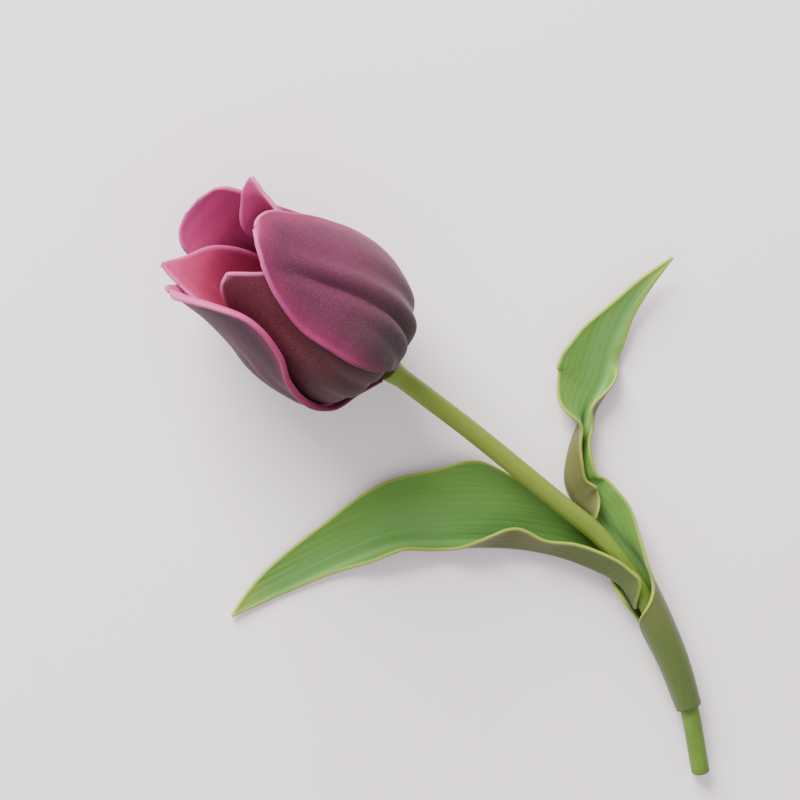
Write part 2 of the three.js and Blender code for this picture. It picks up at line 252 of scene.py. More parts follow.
# Directions towards the lights, built from the camera's own.
KEY = 0.75 * view_up - 0.35 * view_right + 0.75 * view_back
FILL = -0.6 * view_up - 0.5 * view_right + 0.9 * view_back
make_light("window", KEY, distance=1500, size=800, power=85, colour=0xFFF8F4)
make_light("room_fill", FILL, distance=1800, size=1600, power=5, colour=0xF3F0FF)

# %% [markdown]
# ## How a sheet is described
#
# A petal or a leaf is a thin sheet with a spine. Along the spine there are stations, and at each
# station the sheet is marched out from the spine to either margin, leaning as it goes. A box or
# a sculpted plane could be bent into shape instead, but then the outline and the thickness would
# drift, and here both have to agree with the CAD solids. `track` draws a smooth curve through
# the rows of stations, and `march` walks from the spine to a margin.

# %% Curves through rows of numbers
TIP_CROWDING = 0.8  # 0 spaces the stations evenly, and 1 packs them closest at the tip


def track(rows, dims):
    """A smooth function of 0..1 through rows of numbers, whose first `dims` are a point."""
    rows = np.array(rows, float)
    steps = np.linalg.norm(np.diff(rows[:, :dims], axis=0), axis=1)
    t = np.concatenate([[0], np.cumsum(steps)]) / steps.sum()
    after = np.minimum(np.arange(len(t)) + 1, len(t) - 1)
    before = np.maximum(np.arange(len(t)) - 1, 0)
    slope = (rows[after] - rows[before]) / (t[after] - t[before])[:, None]

    def at(s):
        s = np.clip(np.asarray(s, float), 0, 1)
        i = np.clip(np.searchsorted(t, s, side="left") - 1, 0, len(t) - 2)
        h = (t[i + 1] - t[i])[:, None]
        u = (s - t[i])[:, None] / h
        return (
            (2 * u**3 - 3 * u**2 + 1) * rows[i]
            + (u**3 - 2 * u**2 + u) * h * slope[i]
            + (3 * u**2 - 2 * u**3) * rows[i + 1]
            + (u**3 - u**2) * h * slope[i + 1]
        )

    return at


def steps_along(count):
    """Steps from 0 to 1, closer together towards the tip."""
    s = np.linspace(0, 1, count + 1)
    return s + TIP_CROWDING * (np.sin(s * math.pi / 2) - s)


def unit(vectors):
    return vectors / np.maximum(np.linalg.norm(vectors, axis=-1, keepdims=True), 1e-12)


def tangents(points):
    """Unit tangents of rows of points, from their neighbours."""
    ahead = np.concatenate([points[1:], points[-1:]])
    behind = np.concatenate([points[:1], points[:-1]])
    return unit(ahead - behind)


def distance_along(points):
    """How far along a line each of its points is, in the points' own units."""
    return np.concatenate([[0], np.cumsum(np.linalg.norm(np.diff(points, axis=0), axis=1))])


def eased(share):
    """A share from 0 to 1 that starts and ends gently."""
    return share * share * (3 - 2 * share)


# %% [markdown]
# ## The round margin
#
# The margins of these petals and leaves are thick and round, and they catch the light as a bright
# line. So the steps across the sheet crowd together at the margin, and the thickness there
# follows a quarter circle. `reach` gives, from the spine to one margin, how far out each step is
# in millimetres, and `march` turns that into points. `both_ways` joins the two sides.

# %% Marching across a sheet
RIM_STEPS = 6
WIDEST_RIM = 0.8  # the most of a side's width that its rounding may take


def reach(width, steps, rim):
    """Distances from the spine to a margin, and the share of full thickness at each."""
    rim = np.minimum(rim, width * WIDEST_RIM)[:, None]
    flat = np.linspace(0, 1, steps + 1)[None, :]
    theta = np.linspace(0, math.pi / 2, RIM_STEPS + 1)[None, 1:]
    out = [flat * (width[:, None] - rim), width[:, None] - rim * (1 - np.sin(theta))]
    share = [np.ones_like(out[0]), np.broadcast_to(np.cos(theta), out[1].shape)]
    return np.concatenate(out, axis=1), np.concatenate(share, axis=1)


def march(mid, side, up, distances, lean):
    """Points out from each station's spine point. `lean` gives the sheet's angle at a distance."""
    halfway = (distances[:, 1:] + distances[:, :-1]) / 2
    step = np.diff(distances, axis=1)
    angle = lean(halfway)
    run = np.cumsum(step * np.cos(angle), axis=1)[:, :, None] * side[:, None, :]
    climb = np.cumsum(step * np.sin(angle), axis=1)[:, :, None] * up[:, None, :]
    start = mid[:, None, :]
    return np.concatenate([start, start + run + climb], axis=1)


def both_ways(mid, side, up, low, high, steps, rim, lean):
    """A sheet's grid from its low margin to its high one.

    Returns the points, their distances from the spine, the share of full thickness at each,
    and how far each is from the nearer side margin.
    """
    out_high, share_high = reach(high, steps, rim)
    out_low, share_low = reach(low, steps, rim)
    points_high = march(mid, side, up, out_high, lean)
    points_low = march(mid, side, up, -out_low, lean)
    grid = np.concatenate([points_low[:, :0:-1], points_high], axis=1)
    x = np.concatenate([-out_low[:, :0:-1], out_high], axis=1)
    share = np.concatenate([share_low[:, :0:-1], share_high], axis=1)
    return grid, x, share, np.minimum(x + low[:, None], high[:, None] - x)


def normals_of(grid):
    """Unit normals of a grid of points, on the side that across x along faces."""
    along = np.gradient(grid, axis=0)
    across = np.gradient(grid, axis=1)
    return unit(np.cross(across, along))


# %% [markdown]
# ## From a grid to a closed mesh
#
# The sheet's middle surface becomes a closed body: one face is pushed out along the normal and
# the other one back, and the two meet at the margins, where the thickness is zero. The mesh
# also carries a few numbers for its finish: how far along and across a point lies, whether it is
# on the inner face, and how near it is to the margin. A finish that reads these numbers follows
# the sheet wherever it bends, which a picture wrapped round it would not.

# %% Making a mesh with painted numbers
def place(points):
    """Millimetres from the point under the head's base, as metres in the part's frame."""
    return (np.asarray(points) + ORIGIN) * MM


def make_piece(name, node, points, faces, painted, material):
    """An object from points in millimetres. It stands for one CAD node."""
    data = bpy.data.meshes.new(name)
    data.from_pydata(place(points).tolist(), [], faces)
    data.validate()
    for key, values in painted.items():
        layer = data.attributes.new(key, "FLOAT", "POINT")
        layer.data.foreach_set("value", np.asarray(values, np.float32).ravel())
    data.materials.append(material)
    data.shade_smooth()
    piece = bpy.data.objects.new(name, data)
    bpy.context.collection.objects.link(piece)
    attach(piece, "root")
    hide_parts(node)
    low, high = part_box(node)
    mine = place(points)
    miss = max(abs(mine.min(0) - low).max(), abs(mine.max(0) - high).max()) / MM
    print(f"{name}: {len(faces)} faces, its box is within {miss:.2f} mm of the CAD solid's")
    return piece


def sheet_faces(nu, nv):
    """Faces of two grids, outer then inner, that share the first and last column."""
    front = np.arange(nu * nv).reshape(nu, nv)
    back = np.arange(nu * nv, 2 * nu * nv).reshape(nu, nv)
    back[:, 0], back[:, -1] = front[:, 0], front[:, -1]

    def quads(a, b, c, d):
        return np.stack([a.ravel(), b.ravel(), c.ravel(), d.ravel()], axis=1).tolist()

    faces = quads(front[:-1, :-1], front[:-1, 1:], front[1:, 1:], front[1:, :-1])
    faces += quads(back[:-1, :-1], back[1:, :-1], back[1:, 1:], back[:-1, 1:])
    for row, flip in ((0, False), (-1, True)):
        for j in range(nv - 1):
            ring = [front[row, j + 1], front[row, j], back[row, j], back[row, j + 1]]
            ring = list(dict.fromkeys(int(v) for v in (ring[::-1] if flip else ring)))
            faces.append(ring)
    return faces, back


def sheet_body(name, node, grid, thickness, share, bead, numbers, material, inner=1):
    """A closed sheet round a grid. `share` thins it at the margins and `bead` swells them.

    `inner` is 1 where the inner face is the one away from the normal, and 0 on its side.
    """
    nu, nv = grid.shape[:2]
    half = (thickness * share * (1 + bead) / 2)[:, :, None] * normals_of(grid)
    faces, back = sheet_faces(nu, nv)
    points = np.concatenate([(grid + half).reshape(-1, 3), (grid - half).reshape(-1, 3)])
    inside = np.repeat([1.0 - inner, float(inner)], nu * nv)
    margin = np.isclose(share, 0).ravel()
    inside[: nu * nv][margin] = 0.5
    painted = {key: np.concatenate([v.ravel(), v.ravel()]) for key, v in numbers.items()}
    painted["inside"] = inside
    used = np.zeros(len(points), bool)
    used[[v for face in faces for v in face]] = True
    renumber = np.cumsum(used) - 1
    faces = [[int(renumber[v]) for v in face] for face in faces]
    painted = {key: v[used] for key, v in painted.items()}
    return make_piece(name, node, points[used], faces, painted, material)


# %% [markdown]
# ## The petals' finish
#
# Outside, a petal of this tulip is dusky purple with a bloom like velvet. It greys towards green
# at its foot, warms to magenta near the margin, and its round rim is pale pink. Inside it is
# rose pink, and deep red down in the cup. Fine veins run from foot to tip. A single noise
# texture can't do that, so the colour is built in layers from the numbers on the mesh. Sheen
# gives the soft edge light of velvet, and a low bump over the veins keeps them silky.

# %% Petal finishes
def petal_finish(name, dusk, warm, foot, deep, rose):
    """Colours: mid outside, outside near the margin, foot, inside low down, inside near the tip."""
    finish = Finish(name)
    along, inside = finish.painted("along"), finish.painted("inside")
    along_mm, across_mm = finish.painted("along_mm"), finish.painted("across_mm")
    margin = finish.painted("margin_mm")
    veins = finish.streaks(across_mm, along_mm, 1.6, 0.05)
    broad = finish.streaks(across_mm, along_mm, 0.3, 0.03, detail=2, seed=7.0)
    cloud, velvet = finish.grain(8, detail=3), finish.grain(0.35, detail=2)

    near_margin = (1 - margin.rise(0.3, 7.0)) * along.rise(0.1, 0.45)
    outer = finish.blend(near_margin * 0.85 + broad * 0.3 - 0.08, dusk, warm)
    towards_foot = (1 - along.rise(0.16, 0.72)) * (0.62 + broad * 0.7)
    outer = finish.blend(towards_foot * (1 - near_margin * 0.7), outer, foot)
    outer = finish.blend(veins.rise(0.42, 0.8) * 0.16, outer, 0x2E1626)

    depth = along.rise(0.4, 0.98) * 0.75 + (1 - margin.rise(0.3, 7)) * 0.3
    inner = finish.blend(depth, deep, rose)
    # Darker still low down on the inside: painted shade deep in the cup.
    inner = finish.blend((1 - along.rise(0.2, 0.55)) * 0.65, inner, 0x451020)
    inner = finish.blend(veins.rise(0.45, 0.85) * 0.12, inner, deep)

    colour = finish.blend(inside.rise(0.45, 0.55), outer, inner)
    rim_soft = (1 - margin.rise(0.0, 2.2)) * along.rise(0.18, 0.8)
    colour = finish.blend(rim_soft * (0.5 + cloud * 0.3), colour, 0x8A2A5A)
    pale = (1 - margin.rise(0.2, 1.6)) * along.rise(0.7, 1.0)
    colour = finish.blend(pale * 0.3, colour, 0xBC6A9A)
    colour = finish.blend(velvet.rise(0.35, 0.75) * 0.035, colour, 0xD8A8C8)
    normal = finish.bump(veins * 0.45 + velvet * 0.35 + cloud * 0.2, 0.1)
    return finish.surface(
        Base_Color=colour,
        Roughness=0.6 + cloud * 0.16 - rim_soft * 0.1,
        Normal=normal,
        Specular_IOR_Level=0.3,
        Sheen_Weight=0.12,
        Sheen_Roughness=0.4,
        Sheen_Tint=linear(0xD890BC),
        Subsurface_Weight=0.08,
        Subsurface_Radius=(0.9, 0.3, 0.4),
        Subsurface_Scale=0.001,
    )


PETAL_FINISHES = {
    node: petal_finish(name, *colours)
    for node, name, *colours in [
        ("petal_outer_front", "outer_dusk", 0x48142E, 0x6E1440, 0x2E2B24, 0x7A1022, 0xA02E68),
        ("petal_outer_back", "outer_rose", 0x401833, 0x701848, 0x34352C, 0x8A1638, 0xA02C66),
        # Low outer petal: its outside colours are much darker than the others, which is painted
        # shade on its underside.
        ("petal_outer_low", "outer_low_painted_shade", 0x241318, 0x781A4A, 0x2A2820, 0x7A1022, 0xA83470),
        # Front inner petal: its outside colours are darker and more maroon than the others, which
        # is painted shade.
        ("petal_inner_front", "inner_front_painted_shade", 0x440A14, 0x520E1E, 0x30241C, 0x7A1022, 0x9E2E5E),
        ("petal_inner_top", "inner_rose", 0x52184A, 0x6A1C54, 0x38362C, 0x860E24, 0xA03068),
        ("petal_inner_low", "inner_blush", 0x4A1830, 0x60203E, 0x38362C, 0x860C1A, 0x9C2C5C),
    ]
}
print("petal finishes:", [material.name for material in PETAL_FINISHES.values()])

# %% [markdown]
# ## The petals
#
# Three outer petals wrap three inner ones. Each stands on a spine given by its distance from the
# cup's axis and its height, and bends round the axis, a little flatter or tighter than a true
# circle. The low outer petal rolls its margin outward. Long pleats run up each petal from its
# foot, where it was pressed against its neighbours in the bud. They are real dents in the
# sheet, because their shadows and the lobes they cut at the foot have to hold from any side.

# %% Petal stations
HEAD_BASE = np.array([0, 0, 16.4])
HEAD_LEAN = math.radians(90 - 14)  # from upright to the head's axis, which rises 14 degrees
PETAL_THICKNESS = 1.0
PETAL_STEPS = 150
PETAL_SIDE_STEPS = 36
PETAL_RIM = 1.1  # how far in from the margin the rounding reaches
PETAL_BEAD = 0.3  # how much thicker the rim is, as a share of the petal's thickness
PETAL_BEAD_REACH = 1.4
TIP_ROUNDING = 0.9  # how the distance to the tip counts beside the distance to a side
ROLL_FROM = 0.6  # a petal's margin rolls from this share of its width outwards
LEAST_BOWL = 0.25  # the share of its bend that a petal keeps where its spine lies flattest
CURL_START, CURL_GROWTH = 0.12, 0.3  # where along the petal its margins begin to curl

# Radius, height, widths to the lower and the higher margin, flatness, stray and roll.
PETALS = {
    "petal_outer_front": (42, [
        [3.6, 0.3, 2.6, 2.6, 1, 0, 0],
        [11, 5.4, 9, 9, 1.02, 0, 0],
        [17, 9.6, 15.5, 15.5, 1.04, 0, 0],
        [19.7, 14.2, 18.5, 18.5, 1.06, 0, 0],
        [21.3, 21, 20.5, 21, 1.08, 0, 0],
        [20.6, 30, 20.8, 20, 1.08, 0, 0],
        [18.2, 40, 19.5, 15.5, 1.12, -0.4, 0],
        [16, 50, 14.5, 9.5, 1.15, -1.4, 0],
        [14.7, 56, 9.5, 6.5, 1.2, -2.3, 0],
        [13.7, 58.6, 5, 3.5, 1.2, -2.8, 0],
        [13.2, 59.4, 0.5, 0.5, 1.2, -3, 0],
    ]),
    "petal_outer_low": (-82, [
        [3.6, 0.3, 2.4, 2, 1, 0, 0],
        [11, 5.4, 5, 3.5, 1.1, 0, 5],
        [16.6, 9.4, 6.5, 5, 1.2, 0, 12],
        [19.1, 13.6, 8, 7, 1.3, 0, 18],
        [20.6, 20, 10.5, 10.5, 1.5, 0, 28],
        [20.6, 29, 14, 14.5, 1.6, 0, 35],
        [18.7, 37, 17, 17.5, 1.6, 0, 30],
        [17.2, 48, 17.5, 17.5, 1.5, 0, 26],
        [17.1, 56, 12.5, 12.5, 1.35, 0, 22],
        [17.1, 60.7, 6, 6, 1.25, 0, 20],
        [17.2, 62, 0.5, 0.5, 1.2, 0, 20],
    ]),
    "petal_outer_back": (165, [
        [3.6, 0.3, 2.6, 2.6, 1, 0, 0],
        [11, 5.4, 9, 9, 1.02, 0, 0],
        [17, 9.6, 15.5, 15, 1.04, 0, 0],
        [19.7, 14.2, 17, 16.5, 1.06, 0, 0],
        [21.3, 21, 18.5, 18.5, 1.08, 0, 0],
        [20.6, 30, 17.5, 17, 1.08, 0, 0],
        [18.8, 40, 16, 14.5, 1.1, 0.4, 0],
        [17, 50, 12.5, 11, 1.15, 1.2, 0],
        [17, 56.5, 11, 10.5, 1.2, 2, 0],
        [17.2, 60.2, 8, 7.5, 1.2, 2.4, 0],
        [17.3, 61.6, 2.5, 2.5, 1.2, 2.5, 0],
    ]),
    "petal_inner_front": (-25, [
        [2.2, 1.9, 2, 2, 1, 0, 0],
        [9.8, 6.6, 10, 7, 0.97, 0, 0],
        [15.6, 10.4, 14.5, 12, 0.93, 0, 0],
        [18.4, 14.6, 16, 14, 0.9, 0, 0],
        [20.1, 21.2, 17, 15.5, 0.87, 0, 0],
        [19.6, 30, 16, 15, 0.86, 0, 0],
        [17.4, 40, 12, 12, 0.9, 0, 0],
        [15.2, 49, 8.5, 8.6, 0.95, 0, 0],
        [14.2, 54.5, 5.5, 4, 1, 0, 0],
        [13.8, 57, 3, 1.7, 1, 0, 0],
        [13.6, 58, 0.5, 0.5, 1, 0, 0],
    ]),
    "petal_inner_top": (105, [
        [2.2, 1.9, 2, 2, 1, 0, 0],
        [9.6, 6.8, 8, 8, 0.97, 0, 0],
        [15.2, 10.8, 13, 13, 0.93, 0, 0],
        [18, 15, 15, 15, 0.9, 0, 0],
        [19.5, 21.5, 16, 16, 0.87, 0, 0],
        [18.6, 30, 15, 15, 0.86, 0, 0],
        [15.8, 40, 12.5, 14, 0.82, 0, 0],
        [14.2, 50, 8.5, 12.5, 0.76, 0.4, 0],
        [14.9, 55.5, 3.6, 7, 0.72, 0.9, 0],
        [16.2, 58.3, 1.8, 3.2, 0.7, 1.1, 0],
        [17.1, 59.4, 0.4, 0.4, 0.7, 1.2, 0],
    ]),
    "petal_inner_low": (-138, [
        [2.2, 1.9, 2, 2, 1, 0, 0],
        [9.6, 6.8, 8, 8, 0.97, 0, 0],
        [15.2, 10.8, 13, 13, 0.93, 0, 0],
        [18, 15, 15, 15, 0.9, 0, 0],
        [19.5, 21.5, 16, 15.5, 0.87, 0, 0],
        [18.6, 30, 16, 15, 0.86, 0, 0],
        [16.3, 40, 15, 13, 0.87, 0.4, 0],
        [15, 50, 10.6, 10, 0.88, 1.2, 0],
        [15.8, 56.5, 4.4, 5, 0.9, 1.9, 0],
        [16.9, 60, 1.8, 2, 0.9, 2.3, 0],
        [17.5, 61.5, 0.4, 0.4, 0.9, 2.5, 0],
    ]),
}

# %% [markdown]
# ## Pleats
#
# A pleat is a narrow groove with a soft ridge beside it. It is given by how far it lies from the
# spine at the foot and near the tip, its depth and width, and where along the petal it begins
# and ends. Depths are in millimetres and positive inwards. The margins also curl outward a
# little, each side by its own angle.

# %% Pleats and curls of each petal
FADE_IN, FADE_OUT = 0.12, 0.35  # shares of the petal over which a pleat grows and dies out
RIDGE_HEIGHT = 0.55  # the ridge beside a groove, as a share of its depth
RIDGE_AWAY, RIDGE_SPREAD = 1.9, 1.6  # where the ridge lies and how broad it is, in widths

# Distance at foot and at tip, depth, width, start and end along the petal.
PLEATS = {
    "petal_outer_front": [
        [-1.4, -9.0, 1.7, 1.6, 0.05, 0.95],
        [-8.0, -14.5, 0.7, 1.9, 0.08, 0.62],
        [5.0, 1.0, 0.5, 2.2, 0.08, 0.75],
    ],
    "petal_outer_low": [[0, 0, 0.5, 1.6, 0.1, 0.8], [5, 8, 0.3, 1.6, 0.15, 0.7]],
    "petal_outer_back": [
        [0, 0, 0.9, 1.5, 0.06, 0.85],
        [-6, -9, 0.5, 1.5, 0.1, 0.7],
        [6, 9, 0.5, 1.5, 0.1, 0.7],
    ],
    "petal_inner_front": [[0, 0, 0.5, 1.5, 0.1, 0.9], [-7, -6, 0.4, 1.6, 0.12, 0.7]],
    "petal_inner_top": [[0, 0, 0.45, 1.4, 0.1, 0.9], [7, 5, 0.3, 1.6, 0.12, 0.7]],
    "petal_inner_low": [[0, 0, 0.45, 1.4, 0.1, 0.9], [-7, -5, 0.3, 1.6, 0.12, 0.7]],
}

# Degrees that the lower and the higher margin curl outward, and over how many millimetres.
CURLS = {
    "petal_outer_front": (45, 30, 2.6),
    "petal_outer_low": (25, 85, 4.2),
    "petal_outer_back": (20, 20, 2.4),
    "petal_inner_front": (20, 20, 2.0),
    "petal_inner_top": (25, 30, 2.2),
    "petal_inner_low": (35, 20, 2.4),
}


def pleated(grid, x, s, pleats):
    """Pushes a petal's middle surface in at its pleats. Outward is the normal's side."""
    depth = np.zeros_like(x)
    for foot, tip, deep, width, start, end in pleats:
        away = (x - (foot + (tip - foot) * s)) / width
        fade = np.clip((s - start) / FADE_IN, 0, 1) * np.clip((end - s) / FADE_OUT, 0, 1)
        ridge = RIDGE_HEIGHT * np.exp(-((away - RIDGE_AWAY) ** 2) / RIDGE_SPREAD)
        depth += deep * eased(fade) * (np.exp(-(away**2)) - ridge)
    return grid - depth[:, :, None] * normals_of(grid)


# %% Petal sheets
def head_to_table(points):
    """From the head's own frame, whose axis is +Z, to its place over the table."""
    x = points[..., 0] * math.cos(HEAD_LEAN) + points[..., 2] * math.sin(HEAD_LEAN)
    z = points[..., 2] * math.cos(HEAD_LEAN) - points[..., 0] * math.sin(HEAD_LEAN)
    return np.stack([x, points[..., 1], z], axis=-1) + HEAD_BASE


def petal(node, azimuth, stations, material):
    """One petal. `azimuth` is where it stands round the cup, in degrees."""
    turn = math.radians(azimuth)
    outward = np.array([-math.cos(turn), -math.sin(turn), 0])
    around = np.array([math.sin(turn), -math.cos(turn), 0])
    s = steps_along(PETAL_STEPS)
    radius, height, low, high, flatness, stray, roll = track(stations, 2)(s).T
    spine = radius[:, None] * outward + stray[:, None] * around
    spine[:, 2] += height
    along = tangents(spine)
    side = unit(around - (along @ around)[:, None] * along)
    up = np.cross(along, side)
    bowl = (np.maximum(along[:, 2], LEAST_BOWL) / np.maximum(radius, 1) / flatness)[:, None]

    curl_low, curl_high, curl_reach = CURLS[node]
    grown = np.clip((s - CURL_START) / CURL_GROWTH, 0, 1)[:, None]

    def lean(x):
        edge = np.maximum((x / high[:, None] - ROLL_FROM) / (1 - ROLL_FROM), 0)
        over_high = np.clip(1 - (high[:, None] - x) / curl_reach, 0, 1) ** 2
        over_low = np.clip(1 - (low[:, None] + x) / curl_reach, 0, 1) ** 2
        curl = math.radians(curl_low) * over_low - math.radians(curl_high) * over_high
        return bowl * x - np.radians(roll)[:, None] * edge**2 + grown * curl

    grid, x, share, to_margin = both_ways(
        spine, side, up, low, high, PETAL_SIDE_STEPS, PETAL_RIM, lean
    )
    s_grid = np.broadcast_to(s[:, None], x.shape)
    grid = pleated(grid, x, s_grid, PLEATS[node])
    length = distance_along(spine)
    to_tip = (length[-1] - length)[:, None]
    to_margin = np.minimum(to_margin, to_tip * TIP_ROUNDING + 0.05)
    bead = PETAL_BEAD * np.exp(-((to_margin / PETAL_BEAD_REACH) ** 2))
    numbers = {
        "along": s_grid,
        "along_mm": np.broadcast_to(length[:, None], x.shape),
        "across_mm": x,
        "margin_mm": to_margin,
    }
    body = head_to_table(grid)
    name = node + "_sheet"
    return sheet_body(name, node, body, PETAL_THICKNESS, share, bead, numbers, material)


for node, (azimuth, stations) in PETALS.items():
    petal(node, azimuth, stations, PETAL_FINISHES[node])

# %% [markdown]
# ## The leaves' finish
#
# A tulip leaf is smooth and a little waxy. Its upper face is fresh green with a blue-grey bloom
# down the middle, its back is duller and more olive, and its rim is a thick yellow-green line.
# The veins all run from foot to tip without branching, so streaks drawn out along the leaf give
# both their colour and their faint relief.

# %% Leaf finish
def leaf_finish():
    finish = Finish("leaf")
    along, across = finish.painted("along"), finish.painted("across")
    along_mm, across_mm = finish.painted("along_mm"), finish.painted("across_mm")
    inside, margin = finish.painted("inside"), finish.painted("margin_mm")
    veins = finish.streaks(across_mm, along_mm, 1.5, 0.03)
    fine = finish.streaks(across_mm, along_mm, 4.5, 0.05, seed=3.0)
    broad = finish.streaks(across_mm, along_mm, 0.22, 0.02, detail=2, seed=9.0)
    cloud = finish.grain(14, detail=3)

    upper = finish.blend(broad * 0.7 + cloud * 0.3, 0x487222, 0x5F8C38)
    bloom = (1 - across.abs().rise(0.1, 0.8)) * 0.35
    upper = finish.blend(bloom, upper, 0x64965A)
    upper = finish.blend(veins.rise(0.42, 0.78) * 0.2, upper, 0x3E6C18)
    upper = finish.blend(along.rise(0.88, 1.0) * 0.5, upper, 0x98A83C)
    under = finish.blend(broad * 0.6 + cloud * 0.4, 0x474A20, 0x606236)
    under = finish.blend((1 - along.rise(0.12, 0.34)) * 0.8, under, 0x3F5619)
    under = finish.blend(veins.rise(0.4, 0.75) * 0.3, under, 0x42521E)

    colour = finish.blend(inside.rise(0.45, 0.55), under, upper)
    rim_line = (1 - margin.rise(0.1, 0.9)) * (0.5 + cloud * 0.4)
    colour = finish.blend(rim_line, colour, 0x8C9A34)
    rough = 0.46 + cloud * 0.14 + fine * 0.06
    normal = finish.bump(veins * 0.7 + fine * 0.3, 0.16)
    return finish.surface(
        Base_Color=colour,
        Roughness=rough,
        Normal=normal,
        Specular_IOR_Level=0.32,
        Sheen_Weight=0.08,
        Sheen_Roughness=0.5,
        Subsurface_Weight=0.08,
        Subsurface_Radius=(0.5, 0.9, 0.2),
        Subsurface_Scale=0.001,
    )


# %% [markdown]
# ## The leaves
#
# Each leaf is a long gutter: it is folded along its lowest line, and its two walls lean open or
# closed as they go towards the tip. The right leaf's foot wraps right round the stem as a
# sheath, then opens, twists and stands up. The left leaf lies out along the table. Shallow ribs
# between the veins are modelled too, so that the light breaks along them.

# %% Leaf stations
LEAF_THICKNESS = 0.8
LEAF_STEPS = 300
LEAF_SIDE_STEPS = 38
LEAF_RIM = 0.8
LEAF_BEAD = 0.35
LEAF_BEAD_REACH = 1.0

# x, y, z of the fold, left wall's width and heading, right wall's width and heading, radius.
LEAVES = {
    "leaf_left": [
        [-100, 7.3, 2.5, 6, 70, 3.5, 110, 3.2],
        [-93, 4.9, 2.5, 12, 45, 3.5, 60, 3.1],
        [-89, 5, 2.45, 12, 42, 4, 16, 2.8],
        [-85, 5.9, 2.3, 12, 42, 5, 10, 2.4],
        [-75, 8.7, 1.6, 11.3, 40, 7.5, 12, 2.2],
        [-67, 12.2, 0.9, 10.5, 50, 12.8, 12, 2],
        [-59, 16.5, 0.7, 12, 35, 17.2, 12, 2],
        [-51.5, 21.6, 0.6, 9, 60, 21.5, 9, 2],
        [-44.5, 27, 0.6, 5, 95, 20, 8, 2],
        [-35, 34.5, 0.6, 7, 75, 17, 8, 2],
        [-26.5, 47, 0.6, 3, 130, 12, 8, 2],
        [-19, 61, 0.7, 1.5, 165, 8, 8, 2],
        [-15, 69, 0.9, 0.9, 170, 4.5, 8, 2],
        [-12, 75, 1.2, 0.4, 170, 0.4, 8, 2],
    ],
    "leaf_right": [
        [-130, 22.5, 0.75, 3.3, 120, 15.8, 285, 3.2],
        [-118, 15.5, 1.2, 3.7, 125, 18.9, 285, 3.8],
        [-108.5, 10.9, 1.15, 4.1, 125, 20.8, 280, 4.25],
        [-103, 8.4, 1.1, 5, 118, 19, 245, 4.4],
        [-97, 5.8, 1.1, 8, 120, 12, 125, 4.5],
        [-91, 3, 0.8, 5, 168, 11.5, 95, 4.4],
        [-83, -0.5, 0.5, 3.8, 174, 10, 55, 3],
        [-77, -2.7, 0.5, 3.4, 130, 9.8, 35, 1.8],
        [-72, -3.2, 0.5, 8.5, 18, 9.8, 25, 1.5],
        [-67.5, -3.9, 0.5, 10.2, 12, 9.5, 22, 1.5],
        [-63.5, -6.2, 0.6, 8.8, 15, 8.5, 30, 1.6],
        [-60.5, -10.5, 0.6, 7.5, 35, 7, 48, 1.6],
        [-58.2, -15.5, 0.6, 6.5, 70, 5.5, 72, 1.6],
        [-57, -20, 0.6, 7, 105, 5, 98, 1.6],
        [-55, -24.5, 0.6, 10.5, 165, 6.5, 135, 1.6],
        [-53.5, -31.5, 0.8, 13.5, 172, 5.5, 100, 2],
        [-51, -36.5, 1.3, 13.2, 172, 3.5, 15, 2.6],
        [-48.5, -42, 2, 10, 172, 3.5, 12, 3],
        [-46.5, -49.5, 3, 5.5, 172, 2.6, 10, 3.4],
        [-45.5, -58.5, 4.5, 2.5, 172, 2, 10, 3.8],
        [-46, -68, 7, 0.4, 172, 0.4, 10, 4],
    ],
}


# %% Leaf sheets
RIB_SPACING = 1.9
RIB_DEPTH = 0.022
RIB_FADE = 2  # millimetres from a margin in which the ribs die out


def leaf(node, stations, material):
    """One leaf. Its upper face is on the side that its normals point to."""
    s = steps_along(LEAF_STEPS)
    values = track(stations, 3)(s)
    fold, (left, left_heading, right, right_heading, radius) = values[:, :3], values[:, 3:].T
    along = tangents(fold)
    side = unit(np.cross(along, [0.0, 0.0, 1.0]))
    up = np.cross(side, along)
    low = np.radians(left_heading - 180)[:, None]
    high = np.radians(right_heading)[:, None]

    def lean(x):
        return np.clip(x / radius[:, None], low, high)

    grid, x, share, to_margin = both_ways(
        fold, side, up, left, right, LEAF_SIDE_STEPS, LEAF_RIM, lean
    )
    ribs = np.cos(x * 2 * math.pi / RIB_SPACING) * np.clip(to_margin / RIB_FADE, 0, 1)
    grid = grid + RIB_DEPTH * ribs[:, :, None] * normals_of(grid)
    length = distance_along(fold)
    bead = LEAF_BEAD * np.exp(-((to_margin / LEAF_BEAD_REACH) ** 2))
    numbers = {
        "along": np.broadcast_to(s[:, None], x.shape),
        "across": np.where(x > 0, x / right[:, None], x / left[:, None]),
        "along_mm": np.broadcast_to(length[:, None], x.shape),
        "across_mm": x,
        "margin_mm": to_margin,
    }
    return sheet_body(
        node + "_sheet", node, grid, LEAF_THICKNESS, share, bead,
        numbers, material, inner=0,
    )


leaf_green = leaf_finish()
for node, stations in LEAVES.items():
    leaf(node, stations, leaf_green)

# %% [markdown]
# ## Round pieces
#
# The stem, the pistil and the stamens are round along their length, with a radius that changes
# and isn't quite a circle. One function sweeps a ring of points along a path, keeping the ring
# from twisting, and closes both ends. A curve with a bevel would give only circles.

# %% Sweeping rings along a path
def frames_along(path):
    """Two directions across the path at each point, carried along it without a twist."""
    along = tangents(path)
    first = np.cross(along[0], [0.0, 0.0, 1.0])
    first = unit(first if np.linalg.norm(first) > 0.1 else np.cross(along[0], [1.0, 0.0, 0.0]))
    carried = [first]
    for direction in along[1:]:
        carried.append(unit(carried[-1] - direction * (carried[-1] @ direction)))
    carried = np.array(carried)
    return carried, np.cross(along, carried)


def turns(sides):
    """Evenly spaced angles, once round."""
    return np.arange(sides) * 2 * math.pi / sides


